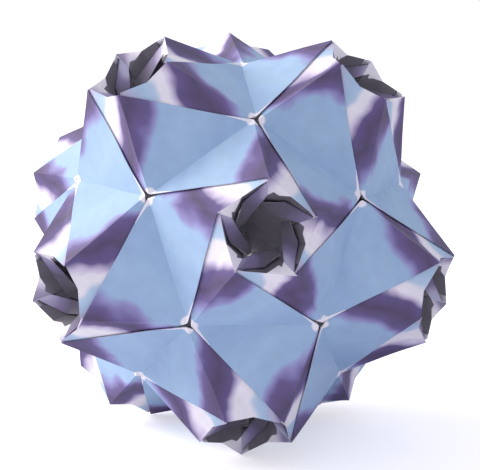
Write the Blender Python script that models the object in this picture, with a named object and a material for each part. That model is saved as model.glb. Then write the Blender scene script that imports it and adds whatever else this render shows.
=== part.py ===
"""Kusudama paper ball: thirty folded paper units that lock into a hollow ball.

The ball has twelve raised craters with five sides, and twenty dimples where three units meet.
Each unit is one folded sheet. Its valley fold runs between two dimples, and it reaches up the
wall of a crater on either side. There it has a main triangle with a pocket behind it, then a
ridge, then a second triangle whose tab slides into the pocket of the next unit, and a lip that
turns over the rim and whirls into the crater.

Metres, +Z up. The ball stands on the rim corners of its three lowest craters, at z = 0.
"""
from math import atan, cos, pi, radians, sin, sqrt, tan

import bmesh
import bpy
import numpy as np
from mathutils import Matrix, Vector

# Driving dimensions of the ball
DIMPLE_RADIUS = 0.0520      # ball centre to each dimple where three units meet
RIM_HEIGHT = 0.0646         # ball centre to the plane of each crater's rim
RIM_RADIUS = 0.0145         # crater axis to the corners of its rim
RIM_TURN = radians(4)       # how far those corners whirl past the dimples, clockwise from outside
RIM_SAG = 0.0018            # how far the rim dips between its corners
PAPER = 0.0003              # folded paper, two layers pressed together
CLEARANCE = 0.0003          # air between the papers of two units

# Lip that turns over the rim and into the crater
RIDGE_RADIUS = 0.0095       # crater axis to the inner end of the lip's ridge
RIDGE_DROP = 0.0040         # rim plane down to that end
WALL_DEPTH = 0.0125         # rim plane down to the foot of the lip's steep wall
WALL_LEAN = radians(13)     # how far that wall leans in towards the crater's axis
FOLD_SHARE = 0.50           # place along the rim where the flat lip turns into the steep wall
WALL_END_SHARE = 0.75       # place from there to the rim's end where the steep wall runs out
WALL_CUT_SHARE = 0.70       # how far along that stretch the wall's foot runs before it is cut away
WALL_CUT_RISE_SHARE = 0.15  # how far up the wall the foot has risen by then

# Strip that leaves the lip's ridge and curls down round the inside of the crater
STRIP_START_SHARE = 0.30    # place along the ridge where the strip begins
STRIP_RADIUS = 0.0060       # crater axis to the inner corner of the strip's end
STRIP_DROP = 0.0110         # rim plane down to that corner
STRIP_TURN = radians(88)    # how far round the crater that corner lies from the ridge
HEEL_RADIUS = 0.0074        # the same three for the outer corner of the strip's end
HEEL_DROP = 0.0075
HEEL_TURN = radians(80)
BEND_RADIUS = 0.0094        # and for the corner halfway along its outer side
BEND_DROP = 0.0055
BEND_TURN = radians(42)

# Tab, and the pocket's back layer
TAB_SHARE = 0.50            # how far the tab reaches down beside the next unit's ridge
BACK_END_SHARE = 0.18       # valley left free of the back layer at either end
BACK_TOP_SHARE = 0.62       # how far the back layer reaches up the wall
BACK_FOOT_SHARE = 0.20      # how far up the ridge the back layer starts
SEAT_SHARE = 0.30           # how deep the back layer's edge sits in the ridge's paper

# Folds sharper than this are cut square inside, where a mitre would run out too far
SHARPEST_FOLD_SHARE = 0.35

# Angles of an icosahedron
GOLDEN = (1 + sqrt(5)) / 2
CRATER_TILT = atan(1 / GOLDEN)          # middle of a unit to either crater's axis
DIMPLE_TILT = atan(1 / GOLDEN ** 2)     # middle of a unit to either dimple
SIDE_TURN = 2 * pi / 5                  # one side of a crater
HALF_TURN = Matrix.Rotation(pi, 3, "Z")

# Depths under the outer faces of the main triangles
TAB_DEPTH = PAPER + CLEARANCE
BACK_DEPTH = TAB_DEPTH + PAPER + CLEARANCE

# The unit is modelled with its middle on +Z, its valley along X and one crater towards +Y
CRATER_AXIS = Vector((0, sin(CRATER_TILT), cos(CRATER_TILT)))
DIMPLE_A = DIMPLE_RADIUS * Vector((-sin(DIMPLE_TILT), 0, cos(DIMPLE_TILT)))
DIMPLE_B = HALF_TURN @ DIMPLE_A

PAPER_COLOUR = (0.42, 0.55, 0.78, 1.0)
PAPER_ROUGHNESS = 0.75


def about_crater(angle):
    """Turn about the crater's axis, clockwise as seen from outside."""
    return Matrix.Rotation(-angle, 3, CRATER_AXIS)


def in_crater(radius, drop, angle=0):
    """Point by radius from the crater's axis, drop below the rim and clockwise angle."""
    corner_way = (DIMPLE_A - DIMPLE_A.dot(CRATER_AXIS) * CRATER_AXIS).normalized()
    return (RIM_HEIGHT - drop) * CRATER_AXIS + radius * (about_crater(angle) @ corner_way)


def plane_through(first, second, third):
    """Plane as its outward normal and its distance from the ball's centre."""
    normal = (second - first).cross(third - first).normalized()
    if normal.dot(first) < 0:
        normal.negate()
    return normal, normal.dot(first)


def sunk(plane, depth):
    """The plane moved towards the ball's centre."""
    normal, distance = plane
    return normal, distance - depth


def turned(plane, turn):
    """The plane turned about the ball's centre."""
    normal, distance = plane
    return turn @ normal, distance


def meet(first, second, third):
    """Point where three planes meet."""
    planes = (first, second, third)
    rows = np.array([normal for normal, distance in planes])
    return Vector(np.linalg.solve(rows, [distance for normal, distance in planes]))


def onto(plane, point):
    """Foot of the point on the plane."""
    normal, distance = plane
    return point - (normal.dot(point) - distance) * normal


# Planes of the main triangle, of the second triangle past the ridge, and of their neighbours
CORNER = in_crater(RIM_RADIUS, 0, RIM_TURN)
NEXT_CORNER = about_crater(SIDE_TURN) @ CORNER
RIM_PLANE = (CRATER_AXIS, RIM_HEIGHT)
MAIN_PLANE = plane_through(DIMPLE_A, DIMPLE_B, CORNER)
FAR_PLANE = turned(MAIN_PLANE, HALF_TURN)
SECOND_PLANE = plane_through(DIMPLE_A, CORNER, NEXT_CORNER)
TAB_PLANE = sunk(SECOND_PLANE, TAB_DEPTH)
TIP = meet(MAIN_PLANE, TAB_PLANE, RIM_PLANE)
BACK_PLANE = sunk(turned(SECOND_PLANE, about_crater(-SIDE_TURN)), BACK_DEPTH)
FAR_BACK_PLANE = turned(BACK_PLANE, HALF_TURN)


def wall_foot(point):
    """Foot of the lip's steep wall under a point of its top edge."""
    drop = WALL_DEPTH - (RIM_HEIGHT - point.dot(CRATER_AXIS))
    outward = (point - point.dot(CRATER_AXIS) * CRATER_AXIS).normalized()
    return point - drop * (CRATER_AXIS + tan(WALL_LEAN) * outward)


def sheet_corners():
    """Corners of half the folded sheet, on the valley's side towards +Y."""
    onward = about_crater(SIDE_TURN)
    stop_plane = sunk(turned(SECOND_PLANE, onward), BACK_DEPTH + CLEARANCE)
    rim_end = meet(TAB_PLANE, stop_plane, RIM_PLANE)
    tab_foot = meet(TAB_PLANE, stop_plane, turned(FAR_PLANE, onward))
    fold = TIP.lerp(rim_end, FOLD_SHARE) - RIM_SAG * CRATER_AXIS
    wall_end = fold.lerp(rim_end, WALL_END_SHARE)
    wall_cut = WALL_CUT_SHARE * (wall_end - fold)
    ridge_end = in_crater(RIDGE_RADIUS, RIDGE_DROP, RIM_TURN)
    return {
        "valley_start": meet(MAIN_PLANE, FAR_PLANE, TAB_PLANE),
        "tip": TIP,
        "rim_end": rim_end,
        "tab_end": rim_end.lerp(tab_foot, TAB_SHARE),
        "fold": fold,
        "fold_foot": wall_foot(fold),
        "wall_end": wall_end,
        "wall_cut": wall_foot(fold).lerp(fold, WALL_CUT_RISE_SHARE) + wall_cut,
        "ridge_end": ridge_end,
        "ridge_foot": wall_foot(ridge_end),
        "strip_start": TIP.lerp(ridge_end, STRIP_START_SHARE),
        "strip_end": in_crater(STRIP_RADIUS, STRIP_DROP, RIM_TURN - STRIP_TURN),
        "strip_heel": in_crater(HEEL_RADIUS, HEEL_DROP, RIM_TURN - HEEL_TURN),
        "strip_bend": in_crater(BEND_RADIUS, BEND_DROP, RIM_TURN - BEND_TURN),
    }


def sheet_half():
    """Corners and panels of half the folded sheet, up to its valley."""
    panels = [
        ("valley_start", "valley_end", "tip"),
        ("valley_start", "tip", "fold"),
        ("valley_start", "fold", "wall_end", "rim_end"),
        ("valley_start", "rim_end", "tab_end"),
        ("tip", "strip_start", "ridge_end", "fold"),
        ("fold", "ridge_end", "ridge_foot", "fold_foot"),
        ("fold", "fold_foot", "wall_cut", "wall_end"),
        ("strip_start", "strip_bend", "ridge_end"),
        ("strip_bend", "strip_end", "ridge_end"),
        ("strip_bend", "strip_heel", "strip_end"),
    ]
    return sheet_corners(), panels


def back_half():
    """Corners and panels of half the back layer, which closes the pocket behind the main triangle."""
    sheet = sheet_corners()
    beside_ridge = plane_through(sheet["valley_start"], sheet["tip"], sheet["fold"])
    seat_plane = sunk(beside_ridge, SEAT_SHARE * PAPER)
    across = (Vector((1, 0, 0)), DIMPLE_A.x * (1 - 2 * BACK_END_SHARE))
    ridge_low = meet(BACK_PLANE, seat_plane, FAR_BACK_PLANE)
    ridge_high = meet(BACK_PLANE, seat_plane, RIM_PLANE)
    corners = {
        "valley_start": meet(BACK_PLANE, FAR_BACK_PLANE, across),
        "seam_top": onto(BACK_PLANE, DIMPLE_B.lerp(TIP, BACK_TOP_SHARE)),
        "ridge_top": ridge_low.lerp(ridge_high, BACK_TOP_SHARE),
        "ridge_foot": ridge_low.lerp(ridge_high, BACK_FOOT_SHARE),
    }
    panels = [("valley_start", "valley_end", "seam_top", "ridge_top", "ridge_foot")]
    return corners, panels


def both_halves(half):
    """The half and its half turn about the unit's middle, with the valley's corners shared."""
    corners, panels = half
    all_corners = {}
    all_panels = []
    for side, turn in (("near ", Matrix.Identity(3)), ("far ", HALF_TURN)):
        other = "far " if side == "near " else "near "
        for name, point in corners.items():
            all_corners[side + name] = turn @ point
        for panel in panels:
            all_panels.append([
                other + "valley_start" if name == "valley_end" else side + name
                for name in panel
            ])
    return all_corners, all_panels


def panel_normal(corners, panel):
    first, second, third = (corners[name] for name in panel[:3])
    return (second - first).cross(third - first).normalized()


def thicken(corners, panels):
    """Closed mesh of a folded sheet: every panel gets the paper's thickness, mitred at its folds."""
    normals = [panel_normal(corners, panel) for panel in panels]
    mesh = bmesh.new()
    front = {}
    back = {}
    for name, point in corners.items():
        rows = np.array([normal for normal, panel in zip(normals, panels) if name in panel])
        shift = np.linalg.pinv(rows, rcond=SHARPEST_FOLD_SHARE) @ np.full(len(rows), PAPER)
        front[name] = mesh.verts.new(point)
        back[name] = mesh.verts.new(point - Vector(shift))
    sides = {(panel[i - 1], panel[i]) for panel in panels for i in range(len(panel))}
    for panel in panels:
        mesh.faces.new([front[name] for name in panel])
        mesh.faces.new([back[name] for name in reversed(panel)])
    for start, end in sides:
        if (end, start) not in sides:
            mesh.faces.new([front[end], front[start], back[start], back[end]])
    bmesh.ops.triangulate(mesh, faces=mesh.faces[:])
    bmesh.ops.recalc_face_normals(mesh, faces=mesh.faces[:])
    return mesh


def valley_web():
    """Closed mesh of the paper under the valley, where front and back layers are one again."""
    end = DIMPLE_A.x * (1 - 2 * BACK_END_SHARE) + PAPER
    middle = (Vector((1, 0, 0)), 0)
    top = meet(sunk(MAIN_PLANE, PAPER / 2), sunk(FAR_PLANE, PAPER / 2), middle).z
    foot = meet(sunk(BACK_PLANE, PAPER / 2), sunk(FAR_BACK_PLANE, PAPER / 2), middle).z
    mesh = bmesh.new()
    bmesh.ops.create_cube(mesh, size=1)
    bmesh.ops.scale(mesh, vec=(2 * abs(end), PAPER, top - foot), verts=mesh.verts)
    bmesh.ops.translate(mesh, vec=(0, 0, (top + foot) / 2), verts=mesh.verts)
    return mesh


def as_object(name, mesh):
    data = bpy.data.meshes.new(name)
    mesh.to_mesh(data)
    mesh.free()
    shape = bpy.data.objects.new(name, data)
    bpy.context.scene.collection.objects.link(shape)
    return shape


def unit_mesh():
    """One folded unit as a single closed solid."""
    sheet = as_object("sheet", thicken(*both_halves(sheet_half())))
    layers = [as_object("back_layer", thicken(*both_halves(back_half()))), as_object("web", valley_web())]
    for layer in layers:
        join = sheet.modifiers.new(layer.name, "BOOLEAN")
        join.operation = "UNION"
        join.solver = "EXACT"
        join.object = layer
    evaluated = sheet.evaluated_get(bpy.context.evaluated_depsgraph_get())
    unit = bpy.data.meshes.new_from_object(evaluated)
    unit.name = "folded_unit"
    for shape in [sheet, *layers]:
        bpy.data.objects.remove(shape)
    return unit


def unit_turns():
    """One turn about the ball's centre for each of the thirty units."""
    middle = Vector((0, 0, 1))
    round_near_crater = about_crater(SIDE_TURN)
    found = [Matrix.Identity(3)]
    waiting = list(found)
    while waiting:
        turn = waiting.pop()
        for step in (turn @ round_near_crater, turn @ HALF_TURN @ round_near_crater):
            if all((step @ middle).dot(other @ middle) < cos(DIMPLE_TILT) for other in found):
                found.append(step)
                waiting.append(step)
    return found


def standing_turn():
    """Turn that puts a dimple on top and below, and a crater in front, towards -Y."""
    up = (Matrix.Rotation(SIDE_TURN, 3, HALF_TURN @ CRATER_AXIS) @ DIMPLE_A).normalized()
    back = (CRATER_AXIS.dot(up) * up - CRATER_AXIS).normalized()
    return Matrix((back.cross(up), back, up))


def paper_material():
    material = bpy.data.materials.new("printed_paper")
    material.use_nodes = True
    shader = material.node_tree.nodes["Principled BSDF"]
    shader.inputs["Base Color"].default_value = PAPER_COLOUR
    shader.inputs["Roughness"].default_value = PAPER_ROUGHNESS
    shader.inputs["Metallic"].default_value = 0
    return material


def main():
    for old in list(bpy.data.objects):
        bpy.data.objects.remove(old)
    unit = unit_mesh()
    unit.materials.clear()
    unit.materials.append(paper_material())
    upright = standing_turn()
    turns = [upright @ turn for turn in unit_turns()]
    middle = Vector((0, 0, 1))
    turns.sort(key=lambda turn: tuple(-round(value, 3) for value in reversed(turn @ middle)))
    lift = -min((turn @ vertex.co).z for turn in turns for vertex in unit.vertices)
    for number, turn in enumerate(turns, start=1):
        shape = bpy.data.objects.new(f"unit_{number:02d}", unit)
        shape.matrix_world = Matrix.Translation((0, 0, lift)) @ turn.to_4x4()
        bpy.context.scene.collection.objects.link(shape)


main()
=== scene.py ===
from math import atan, cos, pi, radians, sin, sqrt, tan

import bmesh
import bpy
import numpy as np
from mathutils import Matrix, Vector, noise
from mathutils.bvhtree import BVHTree


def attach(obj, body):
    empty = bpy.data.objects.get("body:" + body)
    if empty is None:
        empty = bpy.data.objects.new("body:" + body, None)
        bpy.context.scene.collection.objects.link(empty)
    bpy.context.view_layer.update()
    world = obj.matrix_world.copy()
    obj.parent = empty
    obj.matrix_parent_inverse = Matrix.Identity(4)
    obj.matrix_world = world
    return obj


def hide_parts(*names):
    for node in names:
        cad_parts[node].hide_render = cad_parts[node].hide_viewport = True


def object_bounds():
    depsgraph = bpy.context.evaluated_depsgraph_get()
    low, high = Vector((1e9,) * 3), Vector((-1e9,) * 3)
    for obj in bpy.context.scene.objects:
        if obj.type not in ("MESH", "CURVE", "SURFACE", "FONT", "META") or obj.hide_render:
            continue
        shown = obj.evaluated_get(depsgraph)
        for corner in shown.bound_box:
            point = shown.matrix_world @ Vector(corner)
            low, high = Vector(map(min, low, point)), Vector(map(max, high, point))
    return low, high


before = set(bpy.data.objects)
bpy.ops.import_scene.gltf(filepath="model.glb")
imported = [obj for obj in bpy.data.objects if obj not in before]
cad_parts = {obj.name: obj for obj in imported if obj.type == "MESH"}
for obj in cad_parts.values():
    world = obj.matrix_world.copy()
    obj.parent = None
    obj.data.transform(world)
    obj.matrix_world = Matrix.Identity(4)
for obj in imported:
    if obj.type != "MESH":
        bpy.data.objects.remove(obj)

cad_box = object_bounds()

MM = 0.001

# Driving dimensions of the ball, as in the solids
DIMPLE_RADIUS = 52.0 * MM
RIM_HEIGHT = 64.6 * MM
RIM_RADIUS = 14.5 * MM
RIM_TURN = radians(4)
RIM_SAG = 1.8 * MM
PAPER = 0.3 * MM
CLEARANCE = 0.3 * MM
RIDGE_RADIUS = 9.5 * MM
RIDGE_DROP = 4.0 * MM
WALL_DEPTH = 12.5 * MM
WALL_LEAN = radians(13)
FOLD_SHARE = 0.50
WALL_END_SHARE = 0.75
WALL_CUT_SHARE = 0.70
WALL_CUT_RISE_SHARE = 0.15
STRIP_START_SHARE = 0.30
STRIP_RADIUS = 6.0 * MM
STRIP_DROP = 11.0 * MM
STRIP_TURN = radians(88)
HEEL_RADIUS = 7.4 * MM
HEEL_DROP = 7.5 * MM
HEEL_TURN = radians(80)
BEND_RADIUS = 9.4 * MM
BEND_DROP = 5.5 * MM
BEND_TURN = radians(42)
TAB_SHARE = 0.50
BACK_END_SHARE = 0.18
BACK_TOP_SHARE = 0.62
BACK_FOOT_SHARE = 0.20
SEAT_SHARE = 0.30
SHARPEST_FOLD_SHARE = 0.35

# How the real paper differs from flat plates
PANEL_GRID = 2.2 * MM         # longest edge of the mesh on the open panels
SEAM_GRID = 0.8 * MM          # and beside the seams, where the paper's edge stands up
SEAM_REACH = 1.4 * MM         # how far from the seam that edge begins to rise
SEAM_RISE = 0.10 * MM         # how far it rises, next to a dimple
SEAM_DEPTH = 1.2 * PAPER      # how deep under the main triangle a point still belongs to its edge
SEAM_START_SHARE = 0.05       # share of the seam over which the rise begins
DIMPLE_GRID = 0.45 * MM       # longest edge of the mesh round a dimple
DIMPLE_REACH = 2.4 * MM       # how far from the dimple the paper's corners stand up
DIMPLE_OPEN = 0.25 * MM       # how far they leave its middle open
DIMPLE_RISE = 0.50 * MM       # and how far they rise
BLADE_REACH = 1.6 * MM        # how far from its fold a blade bends
BLADE_ROUNDS = 4              # how many times that bend is smoothed
DIVIDE_ROUNDS = 9             # at most so many halvings of a long edge
SLIVER = 0.005 * MM           # corners of the mesh that lie closer together are merged
CUT_ANGLE = radians(65)       # a sharper edge of the mesh is a cut edge of the paper
CREASE_ANGLE = radians(32)    # a sharper edge of the mesh is shaded as a crease
FRONT_SHARE = 0.3             # how squarely a face must look its panel's way to be front, or back
COCKLE = 0.35 * MM            # how far hand folding pushes the ball in and out of true
COCKLE_WIDTH = 16 * MM
COCKLE_PLACES = (0, 31, 62)   # where the noise is read for the push along X, Y and Z

# Where the parts inside a crater are read on the colour bands, in mm across the bands. There the
# colours are painted shade of the crater's depths, and the walls get a dark grey
# The walls' dark grey is painted shade, not the paper's own colour
WALL_SHADE_BAND = 44
# The strips start lavender by the ridge and darken away from it: painted shade deeper into the crater
STRIP_BAND = 28.6
STRIP_SHADE_FADE = 1.1              # mm across the bands for each mm away from the ridge
# How each sheet was cut from the print: how far on from the last one and off its line either way,
# in mm, and how fast that shift turns over from sheet to sheet, in radians
SHEET_STEP = 60
SHEET_SHIFT = 1.3
SHEET_SWAY = 2.4
# How the bands wander, in mm, and how closely their waves follow each other, per mm
SWING = 7.0
SWING_SCALE = 0.11
RIPPLE = 1.4
RIPPLE_SCALE = 0.34
# White line on the turned-up edge: its width in mm, and the share of the seam that it runs along
WHITE_WIDE = 1.0
WHITE_NARROW = 0.1
WHITE_SHARE = 0.2
# White round a dimple is full up to the first distance and gone at the second, in mm
DIMPLE_WHITE = 1.7
DIMPLE_WHITE_END = 2.3
# How much of the paper's white a cut edge shows between its two inked faces
CUT_EDGE_SHARE = 0.2
PAPER_WHITE = "EFECF4"

GOLDEN = (1 + sqrt(5)) / 2
CRATER_TILT = atan(1 / GOLDEN)
DIMPLE_TILT = atan(1 / GOLDEN ** 2)
SIDE_TURN = 2 * pi / 5
HALF_TURN = Matrix.Rotation(pi, 3, "Z")
TAB_DEPTH = PAPER + CLEARANCE
BACK_DEPTH = TAB_DEPTH + PAPER + CLEARANCE
CRATER_AXIS = Vector((0, sin(CRATER_TILT), cos(CRATER_TILT)))
DIMPLE_A = DIMPLE_RADIUS * Vector((-sin(DIMPLE_TILT), 0, cos(DIMPLE_TILT)))
DIMPLE_B = HALF_TURN @ DIMPLE_A


# Folded sheet, worked out from the planes of the crater walls

def about_crater(angle):
    """Turn about the crater's axis, clockwise as seen from outside."""
    return Matrix.Rotation(-angle, 3, CRATER_AXIS)


def in_crater(radius, drop, angle=0):
    """Point by radius from the crater's axis, drop below the rim and clockwise angle."""
    corner_way = (DIMPLE_A - DIMPLE_A.dot(CRATER_AXIS) * CRATER_AXIS).normalized()
    return (RIM_HEIGHT - drop) * CRATER_AXIS + radius * (about_crater(angle) @ corner_way)


def plane_through(first, second, third):
    """Plane as its outward normal and its distance from the ball's centre."""
    normal = (second - first).cross(third - first).normalized()
    if normal.dot(first) < 0:
        normal.negate()
    return normal, normal.dot(first)


def sunk(plane, depth):
    return plane[0], plane[1] - depth


def turned(plane, turn):
    return turn @ plane[0], plane[1]


def meet(*planes):
    """Point where three planes meet."""
    normals = np.array([plane[0] for plane in planes])
    return Vector(np.linalg.solve(normals, [plane[1] for plane in planes]))


def onto(plane, point):
    return point - (plane[0].dot(point) - plane[1]) * plane[0]


CORNER = in_crater(RIM_RADIUS, 0, RIM_TURN)
NEXT_CORNER = about_crater(SIDE_TURN) @ CORNER
RIM_PLANE = (CRATER_AXIS, RIM_HEIGHT)
MAIN_PLANE = plane_through(DIMPLE_A, DIMPLE_B, CORNER)
FAR_PLANE = turned(MAIN_PLANE, HALF_TURN)
SECOND_PLANE = plane_through(DIMPLE_A, CORNER, NEXT_CORNER)
TAB_PLANE = sunk(SECOND_PLANE, TAB_DEPTH)
TIP = meet(MAIN_PLANE, TAB_PLANE, RIM_PLANE)
BACK_PLANE = sunk(turned(SECOND_PLANE, about_crater(-SIDE_TURN)), BACK_DEPTH)
FAR_BACK_PLANE = turned(BACK_PLANE, HALF_TURN)


def wall_foot(point):
    """Foot of the lip's steep wall under a point of its top edge."""
    drop = WALL_DEPTH - (RIM_HEIGHT - point.dot(CRATER_AXIS))
    outward = (point - point.dot(CRATER_AXIS) * CRATER_AXIS).normalized()
    return point - drop * (CRATER_AXIS + tan(WALL_LEAN) * outward)


def sheet_corners():
    """Corners of half the folded sheet, on the valley's side towards +Y."""
    onward = about_crater(SIDE_TURN)
    stop_plane = sunk(turned(SECOND_PLANE, onward), BACK_DEPTH + CLEARANCE)
    rim_end = meet(TAB_PLANE, stop_plane, RIM_PLANE)
    tab_foot = meet(TAB_PLANE, stop_plane, turned(FAR_PLANE, onward))
    fold = TIP.lerp(rim_end, FOLD_SHARE) - RIM_SAG * CRATER_AXIS
    wall_end = fold.lerp(rim_end, WALL_END_SHARE)
    wall_cut = WALL_CUT_SHARE * (wall_end - fold)
    ridge_end = in_crater(RIDGE_RADIUS, RIDGE_DROP, RIM_TURN)
    return {
        "valley_start": meet(MAIN_PLANE, FAR_PLANE, TAB_PLANE),
        "tip": TIP,
        "rim_end": rim_end,
        "tab_end": rim_end.lerp(tab_foot, TAB_SHARE),
        "fold": fold,
        "fold_foot": wall_foot(fold),
        "wall_end": wall_end,
        "wall_cut": wall_foot(fold).lerp(fold, WALL_CUT_RISE_SHARE) + wall_cut,
        "ridge_end": ridge_end,
        "ridge_foot": wall_foot(ridge_end),
        "strip_start": TIP.lerp(ridge_end, STRIP_START_SHARE),
        "strip_end": in_crater(STRIP_RADIUS, STRIP_DROP, RIM_TURN - STRIP_TURN),
        "strip_heel": in_crater(HEEL_RADIUS, HEEL_DROP, RIM_TURN - HEEL_TURN),
        "strip_bend": in_crater(BEND_RADIUS, BEND_DROP, RIM_TURN - BEND_TURN),
    }


SHEET_PANELS = [
    ("valley_start", "valley_end", "tip"),
    ("valley_start", "tip", "fold"),
    ("valley_start", "fold", "wall_end", "rim_end"),
    ("valley_start", "rim_end", "tab_end"),
    ("tip", "strip_start", "ridge_end", "fold"),
    ("fold", "ridge_end", "ridge_foot", "fold_foot"),
    ("fold", "fold_foot", "wall_cut", "wall_end"),
    ("strip_start", "strip_bend", "ridge_end"),
    ("strip_bend", "strip_end", "ridge_end"),
    ("strip_bend", "strip_heel", "strip_end"),
]
BACK_PANELS = [("valley_start", "valley_end", "seam_top", "ridge_top", "ridge_foot")]
WALL_PANELS = (5, 6)
STRIP_PANELS = (7, 8, 9)
# Folds that are soft bends of the strip and not creases
SOFT_FOLDS = [("strip_bend", "ridge_end"), ("strip_bend", "strip_end")]
# The main triangles' open edges, each from its dimple to its tip
SEAMS = [("near", "far valley_start", "near tip"), ("far", "near valley_start", "far tip")]


def back_corners():
    """Corners of half the back layer, which closes the pocket behind the main triangle."""
    sheet = sheet_corners()
    beside_ridge = plane_through(sheet["valley_start"], sheet["tip"], sheet["fold"])
    seat_plane = sunk(beside_ridge, SEAT_SHARE * PAPER)
    across = (Vector((1, 0, 0)), DIMPLE_A.x * (1 - 2 * BACK_END_SHARE))
    ridge_low = meet(BACK_PLANE, seat_plane, FAR_BACK_PLANE)
    ridge_high = meet(BACK_PLANE, seat_plane, RIM_PLANE)
    return {
        "valley_start": meet(BACK_PLANE, FAR_BACK_PLANE, across),
        "seam_top": onto(BACK_PLANE, DIMPLE_B.lerp(TIP, BACK_TOP_SHARE)),
        "ridge_top": ridge_low.lerp(ridge_high, BACK_TOP_SHARE),
        "ridge_foot": ridge_low.lerp(ridge_high, BACK_FOOT_SHARE),
    }


def both_halves(corners, panels):
    """The half and its half turn about the unit's middle, with the valley's corners shared."""
    all_corners = {}
    all_panels = []
    for side, turn in (("near ", Matrix.Identity(3)), ("far ", HALF_TURN)):
        other = "far " if side == "near " else "near "
        for name, point in corners.items():
            all_corners[side + name] = turn @ point
        for panel in panels:
            all_panels.append([
                other + "valley_start" if name == "valley_end" else side + name
                for name in panel
            ])
    return all_corners, all_panels


def panel_normal(corners, panel):
    first, second, third = (corners[name] for name in panel[:3])
    return (second - first).cross(third - first).normalized()


def thicken(corners, panels):
    """Closed mesh of a folded sheet: every panel gets the paper's thickness, mitred at its folds."""
    normals = [panel_normal(corners, panel) for panel in panels]
    mesh = bmesh.new()
    front = {}
    back = {}
    for name, point in corners.items():
        rows = np.array([normal for normal, panel in zip(normals, panels) if name in panel])
        shift = np.linalg.pinv(rows, rcond=SHARPEST_FOLD_SHARE) @ np.full(len(rows), PAPER)
        front[name] = mesh.verts.new(point)
        back[name] = mesh.verts.new(point - Vector(shift))
    sides = {(panel[i - 1], panel[i]) for panel in panels for i in range(len(panel))}
    for panel in panels:
        mesh.faces.new([front[name] for name in panel])
        mesh.faces.new([back[name] for name in reversed(panel)])
    for start, end in sorted(sides):
        if (end, start) not in sides:
            mesh.faces.new([front[end], front[start], back[start], back[end]])
    bmesh.ops.triangulate(mesh, faces=mesh.faces[:])
    bmesh.ops.recalc_face_normals(mesh, faces=mesh.faces[:])
    return mesh


def valley_web():
    """Closed mesh of the paper under the valley, where front and back layers are one again."""
    end = DIMPLE_A.x * (1 - 2 * BACK_END_SHARE) + PAPER
    middle = (Vector((1, 0, 0)), 0)
    top = meet(sunk(MAIN_PLANE, PAPER / 2), sunk(FAR_PLANE, PAPER / 2), middle).z
    foot = meet(sunk(BACK_PLANE, PAPER / 2), sunk(FAR_BACK_PLANE, PAPER / 2), middle).z
    mesh = bmesh.new()
    bmesh.ops.create_cube(mesh, size=1)
    bmesh.ops.scale(mesh, vec=(2 * abs(end), PAPER, top - foot), verts=mesh.verts)
    bmesh.ops.translate(mesh, vec=(0, 0, (top + foot) / 2), verts=mesh.verts)
    return mesh


def as_object(name, mesh):
    data = bpy.data.meshes.new(name)
    mesh.to_mesh(data)
    mesh.free()
    shape = bpy.data.objects.new(name, data)
    bpy.context.scene.collection.objects.link(shape)
    return shape


def with_modifiers(shape):
    """The shape's mesh with its modifiers applied."""
    evaluated = shape.evaluated_get(bpy.context.evaluated_depsgraph_get())
    return bpy.data.meshes.new_from_object(evaluated)


def joined_layers(corners, panels):
    """Sheet, back layer and valley as one closed solid."""
    sheet = as_object("sheet", thicken(corners, panels))
    back = as_object("back_layer", thicken(*both_halves(back_corners(), BACK_PANELS)))
    web = as_object("web", valley_web())
    for layer in (back, web):
        join = sheet.modifiers.new(layer.name, "BOOLEAN")
        join.operation = "UNION"
        join.solver = "EXACT"
        join.object = layer
    mesh = bmesh.new()
    mesh.from_mesh(with_modifiers(sheet))
    for shape in (sheet, back, web):
        bpy.data.objects.remove(shape)
    return mesh


def from_line(point, start, end):
    """Distance of the point from the line between two points, and its share of the way along."""
    way = end - start
    share = min(max((point - start).dot(way) / way.length_squared, 0), 1)
    return (point - start - share * way).length, share


def near_seam(corners, point):
    """Distance from the closer of the unit's two seam edges, and its share of the way to the tip."""
    return min(from_line(point, corners[start], corners[end]) for _, start, end in SEAMS)


def divide(mesh, corners):
    """Cuts long edges until the panels can bend softly."""
    for _ in range(DIVIDE_ROUNDS):
        long = []
        for edge in mesh.edges:
            middle = (edge.verts[0].co + edge.verts[1].co) / 2
            if min((middle - dimple).length for dimple in (DIMPLE_A, DIMPLE_B)) < DIMPLE_REACH:
                finest = DIMPLE_GRID
            elif near_seam(corners, middle)[0] < SEAM_REACH:
                finest = SEAM_GRID
            else:
                finest = PANEL_GRID
            if edge.calc_length() > finest:
                long.append(edge)
        if not long:
            break
        bmesh.ops.subdivide_edges(mesh, edges=long, cuts=1)
        bmesh.ops.triangulate(mesh, faces=[face for face in mesh.faces if len(face.verts) > 3])


def close_slivers(mesh):
    """Merges corners that lie nearly together, so that no face is left without area."""
    bmesh.ops.remove_doubles(mesh, verts=mesh.verts, dist=SLIVER)
    bmesh.ops.dissolve_degenerate(mesh, edges=mesh.edges, dist=SLIVER)


def bend_blades(mesh, folds):
    """Turns the creases along the given folds into soft bends. Cut edges stay where they are."""
    near = [
        vertex for vertex in mesh.verts
        if min(from_line(vertex.co, start, end)[0] for start, end in folds) < BLADE_REACH
    ]
    cut = {edge for edge in mesh.edges if edge.calc_face_angle(0) > CUT_ANGLE}
    inside = [vertex for vertex in near if not any(edge in cut for edge in vertex.link_edges)]
    for _ in range(BLADE_ROUNDS):
        moved = []
        for vertex in inside:
            around = [edge.other_vert(vertex).co for edge in vertex.link_edges]
            moved.append((vertex, sum(around, Vector()) / len(around)))
        for vertex, place in moved:
            vertex.co = vertex.co.lerp(place, 0.5)


def raise_seams(mesh, corners):
    """Lifts the main triangles' open edges, most of all next to the dimples."""
    main = {"near": panel_normal(corners, ("near valley_start", "far valley_start", "near tip"))}
    main["far"] = HALF_TURN @ main["near"]
    for vertex in mesh.verts:
        for side, start, end in SEAMS:
            gap, share = from_line(vertex.co, corners[start], corners[end])
            depth = main[side].dot(vertex.co - corners[start])
            if gap < SEAM_REACH and abs(depth) < SEAM_DEPTH:
                along = min(share / SEAM_START_SHARE, 1) * (1 - share) ** 3
                vertex.co += SEAM_RISE * along * (1 - gap / SEAM_REACH) ** 2 * main[side]


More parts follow.
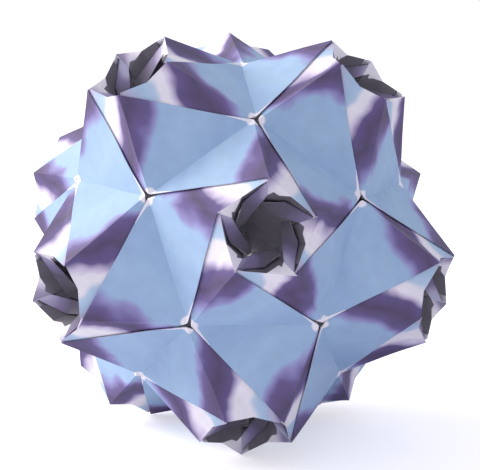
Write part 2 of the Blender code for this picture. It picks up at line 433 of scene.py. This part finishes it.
def open_dimples(mesh):
    """Curls the paper's corners up and back, so that a small hole stays in each dimple.

    All layers near the front move alike, so the air between them stays the same.
    """
    for dimple in (DIMPLE_A, DIMPLE_B):
        way = dimple.normalized()
        for vertex in mesh.verts:
            height = (vertex.co - dimple).dot(way)
            aside = vertex.co - dimple - height * way
            near = max(1 - aside.length / DIMPLE_REACH, 0) ** 2
            layer = min(max(2 - abs(height) / (2 * BACK_DEPTH), 0), 1)
            vertex.co += near * layer * (DIMPLE_OPEN * aside.normalized() + DIMPLE_RISE * way)


# Where each panel lies on the sheet before it is folded

def laid(corners, panel, start, end, flat_start, flat_end):
    """Frame that takes points of the panel to the flat sheet, given where one of its edges lies."""
    along = (corners[end] - corners[start]).normalized()
    across = panel_normal(corners, panel).cross(along)
    flat_along = (flat_end - flat_start).normalized()
    flat_across = Vector((-flat_along.y, flat_along.x))
    return corners[start], along, across, flat_start, flat_along, flat_across


def on_sheet(place, point):
    origin, along, across, flat_origin, flat_along, flat_across = place
    way = point - origin
    return flat_origin + way.dot(along) * flat_along + way.dot(across) * flat_across


def flat_sheet(corners, panels):
    """For each panel of one half, the frame that unfolds it, starting from the valley."""
    start, end = panels[0][:2]
    length = (corners[end] - corners[start]).length
    places = {0: laid(corners, panels[0], start, end, Vector((0, 0)), Vector((length, 0)))}
    waiting = [0]
    while waiting:
        here = waiting.pop(0)
        sides = {(panels[here][i - 1], panels[here][i]) for i in range(len(panels[here]))}
        for other, panel in enumerate(panels):
            shared = [
                (panel[i - 1], panel[i]) for i in range(len(panel)) if (panel[i], panel[i - 1]) in sides
            ]
            if other in places or not shared:
                continue
            start, end = shared[0]
            flat_start = on_sheet(places[here], corners[start])
            flat_end = on_sheet(places[here], corners[end])
            places[other] = laid(corners, panel, start, end, flat_start, flat_end)
            waiting.append(other)
    return places


def folded_unit():
    """One unit in its own frame.

    Gives its points and faces, then for each face's corners the place on the flat sheet and the
    place across the print's bands, in mm, then how bare each face is, and the sheet's corners.
    """
    corners, panels = both_halves(sheet_corners(), SHEET_PANELS)
    mesh = joined_layers(corners, panels)
    bmesh.ops.triangulate(mesh, faces=mesh.faces[:])
    divide(mesh, corners)
    soft = [
        (corners[side + start], corners[side + end])
        for side in ("near ", "far ") for start, end in SOFT_FOLDS
    ]
    bend_blades(mesh, soft)
    raise_seams(mesh, corners)
    open_dimples(mesh)
    close_slivers(mesh)
    folded = bpy.data.meshes.new("folded_unit")
    mesh.to_mesh(folded)
    mesh.free()

    half = len(SHEET_PANELS)
    places = flat_sheet(corners, panels[:half])
    names = list(corners)
    front = BVHTree.FromPolygons(
        [corners[name] for name in names],
        [[names.index(name) for name in panel] for panel in panels],
    )
    normals = [panel_normal(corners, panel) for panel in panels]
    flat = []
    across = []
    bare = []
    for face in folded.polygons:
        number = own_panel(front, normals, face)
        turn = HALF_TURN if number >= half else Matrix.Identity(3)
        bare.append(bare_share(face.normal.dot(normals[number])))
        for vertex in face.vertices:
            point = turn @ folded.vertices[vertex].co
            flat.append(on_sheet(places[number % half], point) / MM)
            across.append(band_place(number % half, flat[-1], point, corners))
    points = [vertex.co.copy() for vertex in folded.vertices]
    faces = [list(face.vertices) for face in folded.polygons]
    return points, faces, np.array(flat), np.array(across), bare, corners


def own_panel(front, normals, face):
    """Number of the panel that a face belongs to: close by, and lying the same way."""
    hits = front.find_nearest_range(face.center, 2 * PAPER) or [front.find_nearest(face.center)]

    def mismatch(hit):
        _, _, number, distance = hit
        return distance - PAPER * abs(face.normal.dot(normals[number]))

    return min(hits, key=mismatch)[2]


def bare_share(facing):
    """How much bare paper a face shows: none in front, all at the back, some on a cut edge."""
    if facing < -FRONT_SHARE:
        return 1
    if facing < FRONT_SHARE:
        return CUT_EDGE_SHARE
    return 0


def band_place(panel, flat, point, corners):
    """Place across the print's bands, in mm. They run at 45 degrees to the valley."""
    # Walls inside a crater get a dark grey, which is painted shade
    if panel in WALL_PANELS:
        return WALL_SHADE_BAND
    # Strips inside a crater get darker the farther they lie from the ridge, which is painted shade
    if panel in STRIP_PANELS:
        from_ridge = from_line(point, corners["near tip"], corners["near ridge_end"])[0] / MM
        return STRIP_BAND + STRIP_SHADE_FADE * from_ridge
    return (flat.y - flat.x) / sqrt(2)


def unit_turns():
    """One turn about the ball's centre for each of the thirty units."""
    middle = Vector((0, 0, 1))
    round_near_crater = about_crater(SIDE_TURN)
    found = [Matrix.Identity(3)]
    waiting = list(found)
    while waiting:
        turn = waiting.pop()
        for step in (turn @ round_near_crater, turn @ HALF_TURN @ round_near_crater):
            if all((step @ middle).dot(other @ middle) < cos(DIMPLE_TILT) for other in found):
                found.append(step)
                waiting.append(step)
    return found


def standing_turns():
    """The thirty turns with a dimple on top and a crater in front, numbered from the top down."""
    up = (Matrix.Rotation(SIDE_TURN, 3, HALF_TURN @ CRATER_AXIS) @ DIMPLE_A).normalized()
    back = (CRATER_AXIS.dot(up) * up - CRATER_AXIS).normalized()
    upright = Matrix((back.cross(up), back, up))
    turns = [upright @ turn for turn in unit_turns()]
    middle = Vector((0, 0, 1))
    turns.sort(key=lambda turn: tuple(-round(value, 3) for value in reversed(turn @ middle)))
    return turns


def out_of_true(point):
    """The point, pushed a little as hand folding leaves every paper at this place of the ball.

    It reads plain noise three times, because Blender's noise_vector differs from run to run.
    """
    spot = point / COCKLE_WIDTH
    push = Vector([noise.noise(spot + Vector((place, 0, 0))) for place in COCKLE_PLACES])
    return point + COCKLE * push


# Colours and materials

def colour(code):
    """Linear colour from an sRGB hex value."""
    values = [int(code[i:i + 2], 16) / 255 for i in (0, 2, 4)]
    return (*(v / 12.92 if v <= 0.04045 else ((v + 0.055) / 1.055) ** 2.4 for v in values), 1)


def add(tree, kind, inputs=(), **settings):
    """Adds a node with its settings, its values and its links."""
    node = tree.nodes.new(kind)
    for name, value in settings.items():
        setattr(node, name, value)
    for name, value in dict(inputs).items():
        if isinstance(value, bpy.types.NodeSocket):
            tree.links.new(value, node.inputs[name])
        else:
            node.inputs[name].default_value = value
    return node


def new_material(name):
    material = bpy.data.materials.new(name)
    material.use_nodes = True
    tree = material.node_tree
    tree.nodes.clear()
    return material, tree


# Bands of the print, by distance across them from the valley's dimple, in mm. The last stops are
# painted shade for the parts inside a crater
PRINT_AND_SHADE_BANDS = [
    (-30, "A0BDDB"), (-16, "9AB6D8"), (-6, "A2BFDC"), (2.2, "9DB9DA"),
    (4.0, "9490C4"), (6.2, "685A8E"), (10.0, "524668"), (14.0, "625488"),
    (16.0, "CEC4DE"), (17.4, "ECE8F0"), (20.5, "EBE8F0"),
    (22.4, "B4C9E2"), (25, "A7C2DE"),
    # Beyond here lie only the parts inside a crater, and the tab, which its pocket hides. These stops
    # are painted shade: lavender by the ridge, darkening to dark grey deep inside
    (28.6, "B4AFCB"), (31.5, "7C7298"), (35, "5E576E"), (40, "625E6A"), (45, "6A6670"),
]
BAND_LOW = PRINT_AND_SHADE_BANDS[0][0]
BAND_HIGH = PRINT_AND_SHADE_BANDS[-1][0]


def printed_paper_and_shade(corners):
    """Kami, thin uncoated craft paper, offset printed on one side.

    The eye gets flat ink with soft wavy edges, no gloss, a faint grain of fibres, and white
    wherever the cut edge or the back of the paper shows. Inside a crater the colour is painted
    shade: strips that darken away from the ridge, and dark grey walls.
    """
    material, tree = new_material("printed_craft_paper_and_shade")
    sheet = add(tree, "ShaderNodeUVMap", uv_map="flat_sheet").outputs[0]
    ink = add(tree, "ShaderNodeUVMap", uv_map="print").outputs[0]
    across = add(tree, "ShaderNodeSeparateXYZ", {0: ink}).outputs[1]

    # The bands wander by about 2 mm over 10 mm, with small waves on them
    wide = add(tree, "ShaderNodeTexNoise", {
        "Vector": ink, "Scale": SWING_SCALE, "Detail": 0.0}).outputs[0]
    small = add(tree, "ShaderNodeTexNoise", {
        "Vector": ink, "Scale": RIPPLE_SCALE, "Detail": 0.0}).outputs[0]
    swing = add(tree, "ShaderNodeMath", {
        0: wide, 1: SWING, 2: -SWING / 2}, operation="MULTIPLY_ADD").outputs[0]
    ripple = add(tree, "ShaderNodeMath", {
        0: small, 1: RIPPLE, 2: -RIPPLE / 2}, operation="MULTIPLY_ADD").outputs[0]
    waves = add(tree, "ShaderNodeMath", {0: swing, 1: ripple}, operation="ADD").outputs[0]
    place = add(tree, "ShaderNodeMath", {0: across, 1: waves}, operation="ADD").outputs[0]
    share = add(tree, "ShaderNodeMapRange", {
        "Value": place, "From Min": BAND_LOW, "From Max": BAND_HIGH}).outputs[0]
    bands = add(tree, "ShaderNodeValToRGB", {"Fac": share})
    stops = bands.color_ramp.elements
    while len(stops) < len(PRINT_AND_SHADE_BANDS):
        stops.new(0.5)
    for stop, (distance, code) in zip(stops, PRINT_AND_SHADE_BANDS):
        stop.position = (distance - BAND_LOW) / (BAND_HIGH - BAND_LOW)
        stop.color = colour(code)

    # Ink lies a little lighter and darker over about 4 mm
    cloud = add(tree, "ShaderNodeTexNoise", {"Vector": ink, "Scale": 0.24, "Detail": 3.0}).outputs[0]
    tone = add(tree, "ShaderNodeMapRange", {
        "Value": cloud, "From Min": 0.25, "From Max": 0.75, "To Min": 0.94, "To Max": 1.05}).outputs[0]
    # Real fibres are near 0.03 mm across: drawn at 0.35 mm, so that they show
    fibre = add(tree, "ShaderNodeTexNoise", {
        "Vector": sheet, "Scale": 2.8, "Detail": 2.0, "Roughness": 0.6}).outputs[0]
    speck = add(tree, "ShaderNodeMapRange", {
        "Value": fibre, "From Min": 0.3, "From Max": 0.7, "To Min": 0.97, "To Max": 1.03}).outputs[0]
    strength = add(tree, "ShaderNodeMath", {0: tone, 1: speck}, operation="MULTIPLY").outputs[0]
    inked = add(tree, "ShaderNodeVectorMath", {
        0: bands.outputs[0], 3: strength}, operation="SCALE").outputs[0]

    # Open edge of the main triangle, where the back of the paper turns up: a white line that
    # is widest beside the dimple and runs out along the seam
    near_panels = both_halves({}, SHEET_PANELS)[1][:len(SHEET_PANELS)]
    flat_tip = on_sheet(flat_sheet(corners, near_panels)[0], corners["near tip"]) / MM
    flat_end = Vector(((corners["far valley_start"] - corners["near valley_start"]).length / MM, 0))
    seam = flat_tip - flat_end
    inward = Vector((-seam.y, seam.x, 0)).normalized()
    from_end = add(tree, "ShaderNodeVectorMath", {
        0: sheet, 1: flat_end.to_3d()}, operation="SUBTRACT").outputs[0]
    gap = add(tree, "ShaderNodeVectorMath", {
        0: from_end, 1: inward}, operation="DOT_PRODUCT").outputs["Value"]
    along = add(tree, "ShaderNodeVectorMath", {
        0: from_end, 1: (seam / seam.length_squared).to_3d()}, operation="DOT_PRODUCT").outputs["Value"]
    width = add(tree, "ShaderNodeMapRange", {
        "Value": along, "From Min": 0.0, "From Max": WHITE_SHARE,
        "To Min": WHITE_WIDE, "To Max": WHITE_NARROW}).outputs[0]
    turned_up = add(tree, "ShaderNodeMath", {0: gap, 1: width}, operation="LESS_THAN").outputs[0]
    in_reach = add(tree, "ShaderNodeMath", {0: along, 1: WHITE_SHARE}, operation="LESS_THAN").outputs[0]
    edge = add(tree, "ShaderNodeMath", {0: turned_up, 1: in_reach}, operation="MULTIPLY").outputs[0]
    # White on the curled corners at the dimples themselves
    dimple = add(tree, "ShaderNodeVectorMath", {0: sheet}, operation="LENGTH").outputs["Value"]
    other = add(tree, "ShaderNodeVectorMath", {0: from_end}, operation="LENGTH").outputs["Value"]
    nearer = add(tree, "ShaderNodeMath", {0: dimple, 1: other}, operation="MINIMUM").outputs[0]
    by_dimple = add(tree, "ShaderNodeMapRange", {
        "Value": nearer, "From Min": DIMPLE_WHITE, "From Max": DIMPLE_WHITE_END,
        "To Min": 1.0, "To Max": 0.0}).outputs[0]
    bare = add(tree, "ShaderNodeAttribute", attribute_name="bare").outputs["Fac"]
    worn = add(tree, "ShaderNodeMath", {0: edge, 1: by_dimple}, operation="MAXIMUM").outputs[0]
    white = add(tree, "ShaderNodeMath", {0: worn, 1: bare}, operation="MAXIMUM").outputs[0]
    whole = add(tree, "ShaderNodeMix", {
        "Factor": white, 6: inked, 7: colour(PAPER_WHITE)}, data_type="RGBA")

    shader = add(tree, "ShaderNodeBsdfPrincipled", {
        "Base Color": whole.outputs[2], "Roughness": 0.68, "IOR": 1.5})
    # Faint unevenness of the paper's face, about 0.6 mm across
    relief = add(tree, "ShaderNodeTexNoise", {"Vector": sheet, "Scale": 1.6, "Detail": 3.0}).outputs[0]
    bump = add(tree, "ShaderNodeBump", {"Height": relief, "Strength": 0.35, "Distance": 0.06 * MM})
    tree.links.new(bump.outputs[0], shader.inputs["Normal"])
    add(tree, "ShaderNodeOutputMaterial", {"Surface": shader.outputs[0]})
    return material


def paper_floor():
    """Seamless backdrop card, matt and nearly white: the eye gets a soft shadow and nothing else."""
    material, tree = new_material("matt_backdrop_card")
    seen = add(tree, "ShaderNodeLightPath")
    card = add(tree, "ShaderNodeBsdfDiffuse", {"Color": colour("F2F1F7")})
    glow = add(tree, "ShaderNodeEmission", {"Color": colour("FFFFFF"), "Strength": 0.45})
    lifted = add(tree, "ShaderNodeAddShader", {0: card.outputs[0], 1: glow.outputs[0]})
    surface = add(tree, "ShaderNodeMixShader", {
        0: seen.outputs["Is Camera Ray"], 1: card.outputs[0], 2: lifted.outputs[0]})
    add(tree, "ShaderNodeOutputMaterial", {"Surface": surface.outputs[0]})
    return material


# The ball

points, faces, flat, across, bare, corners = folded_unit()
paper = printed_paper_and_shade(corners)
turns = standing_turns()
bent = [[out_of_true(turn @ point) for point in points] for turn in turns]
lift = Vector((0, 0, cad_box[0][2] - min(point.z for unit in bent for point in unit)))
for number, unit in enumerate(bent, start=1):
    placed = [point + lift for point in unit]
    data = bpy.data.meshes.new(f"paper_unit_{number:02d}")
    data.from_pydata(placed, [], faces)
    sheet_map = data.uv_layers.new(name="flat_sheet")
    sheet_map.data.foreach_set("uv", flat.astype(np.float32).ravel())
    # Each sheet was cut from another place along the bands, and not quite to the same line
    print_places = np.stack([
        (flat[:, 0] + flat[:, 1]) / sqrt(2) + SHEET_STEP * number,
        across + SHEET_SHIFT * sin(SHEET_SWAY * number),
    ], axis=1)
    print_map = data.uv_layers.new(name="print")
    print_map.data.foreach_set("uv", print_places.astype(np.float32).ravel())
    marks = data.attributes.new("bare", "FLOAT", "FACE")
    marks.data.foreach_set("value", np.array(bare, dtype=np.float32))
    data.shade_smooth()
    data.set_sharp_from_angle(angle=CREASE_ANGLE)
    data.materials.append(paper)
    piece = bpy.data.objects.new(f"paper_unit_{number:02d}", data)
    bpy.context.scene.collection.objects.link(piece)
    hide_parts(f"unit_{number:02d}")
    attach(piece, "root")


# Floor, light and camera

FLOOR_RADIUS = 3.0
floor_mesh = bmesh.new()
bmesh.ops.create_circle(floor_mesh, cap_ends=True, radius=FLOOR_RADIUS, segments=96)
floor = as_object("backdrop_card", floor_mesh)
floor.data.materials.append(paper_floor())


def softbox(name, place, aim, size, watts, tint):
    """Round lamp that lights the ball and isn't seen itself."""
    light = bpy.data.lights.new(name, "AREA")
    light.shape = "DISK"
    light.size = size
    light.energy = watts
    light.color = colour(tint)[:3]
    lamp = bpy.data.objects.new(name, light)
    lamp.location = place
    lamp.visible_camera = False
    lamp.rotation_euler = (Vector(aim) - Vector(place)).to_track_quat("-Z", "Y").to_euler()
    bpy.context.scene.collection.objects.link(lamp)


# Lamp and camera both look at the ball's middle. Their places are in metres
BALL_MIDDLE = 59.866 * MM
middle = Vector((0, 0, BALL_MIDDLE))
softbox("window_softbox", place=(-1.08, 0.39, 0.67), aim=middle, size=1.0, watts=20.0, tint="FFF9F0")

# Pale light from the whole room, which the camera and mirrored rays see as plain white
world = bpy.data.worlds.new("studio")
bpy.context.scene.world = world
world.use_nodes = True
sky = world.node_tree
sky.nodes.clear()
path = add(sky, "ShaderNodeLightPath")
glossy = add(sky, "ShaderNodeMath", {
    0: path.outputs["Is Camera Ray"], 1: path.outputs["Is Glossy Ray"]}, operation="MAXIMUM").outputs[0]
seen_white = add(sky, "ShaderNodeMath", {
    0: glossy, 1: path.outputs["Is Transmission Ray"]}, operation="MAXIMUM").outputs[0]
room = add(sky, "ShaderNodeBackground", {"Color": colour("E9E9F4"), "Strength": 0.84})
white_room = add(sky, "ShaderNodeBackground", {"Color": colour("FFFFFF"), "Strength": 1.0})
mixed = add(sky, "ShaderNodeMixShader", {
    0: seen_white, 1: room.outputs[0], 2: white_room.outputs[0]})
add(sky, "ShaderNodeOutputWorld", {"Surface": mixed.outputs[0]})

# The photograph's place and lens, found from twenty of the ball's corners. The picture is 480 by
# 470 pixels, AIMED_PIXEL is the one that the lens looks at, and DISTANCE is to the ball's middle
IMAGE_WIDTH = 480
IMAGE_MIDDLE = (240, 235)
AIMED_PIXEL = (236.65, 236.0)
FOCAL_PIXELS = 1589.9
DISTANCE = 0.4807
azimuth = radians(-7.27)
elevation = radians(9.68)
roll = radians(1.53)
way = Vector((sin(azimuth) * cos(elevation), -cos(azimuth) * cos(elevation), sin(elevation)))
level = Vector((cos(azimuth), sin(azimuth), 0))
upward = way.cross(level)
right = cos(roll) * level + sin(roll) * upward
above = way.cross(right)
lens = bpy.data.cameras.new("camera")
lens.sensor_width = 36
lens.lens = FOCAL_PIXELS / IMAGE_WIDTH * lens.sensor_width
lens.shift_x = (IMAGE_MIDDLE[0] - AIMED_PIXEL[0]) / IMAGE_WIDTH
lens.shift_y = -(IMAGE_MIDDLE[1] - AIMED_PIXEL[1]) / IMAGE_WIDTH
camera = bpy.data.objects.new("camera", lens)
turn = Matrix((right, above, way)).transposed().to_4x4()
camera.matrix_world = Matrix.Translation(middle + DISTANCE * way) @ turn
bpy.context.scene.collection.objects.link(camera)
bpy.context.scene.camera = camera
bpy.context.scene.view_settings.view_transform = "Standard"
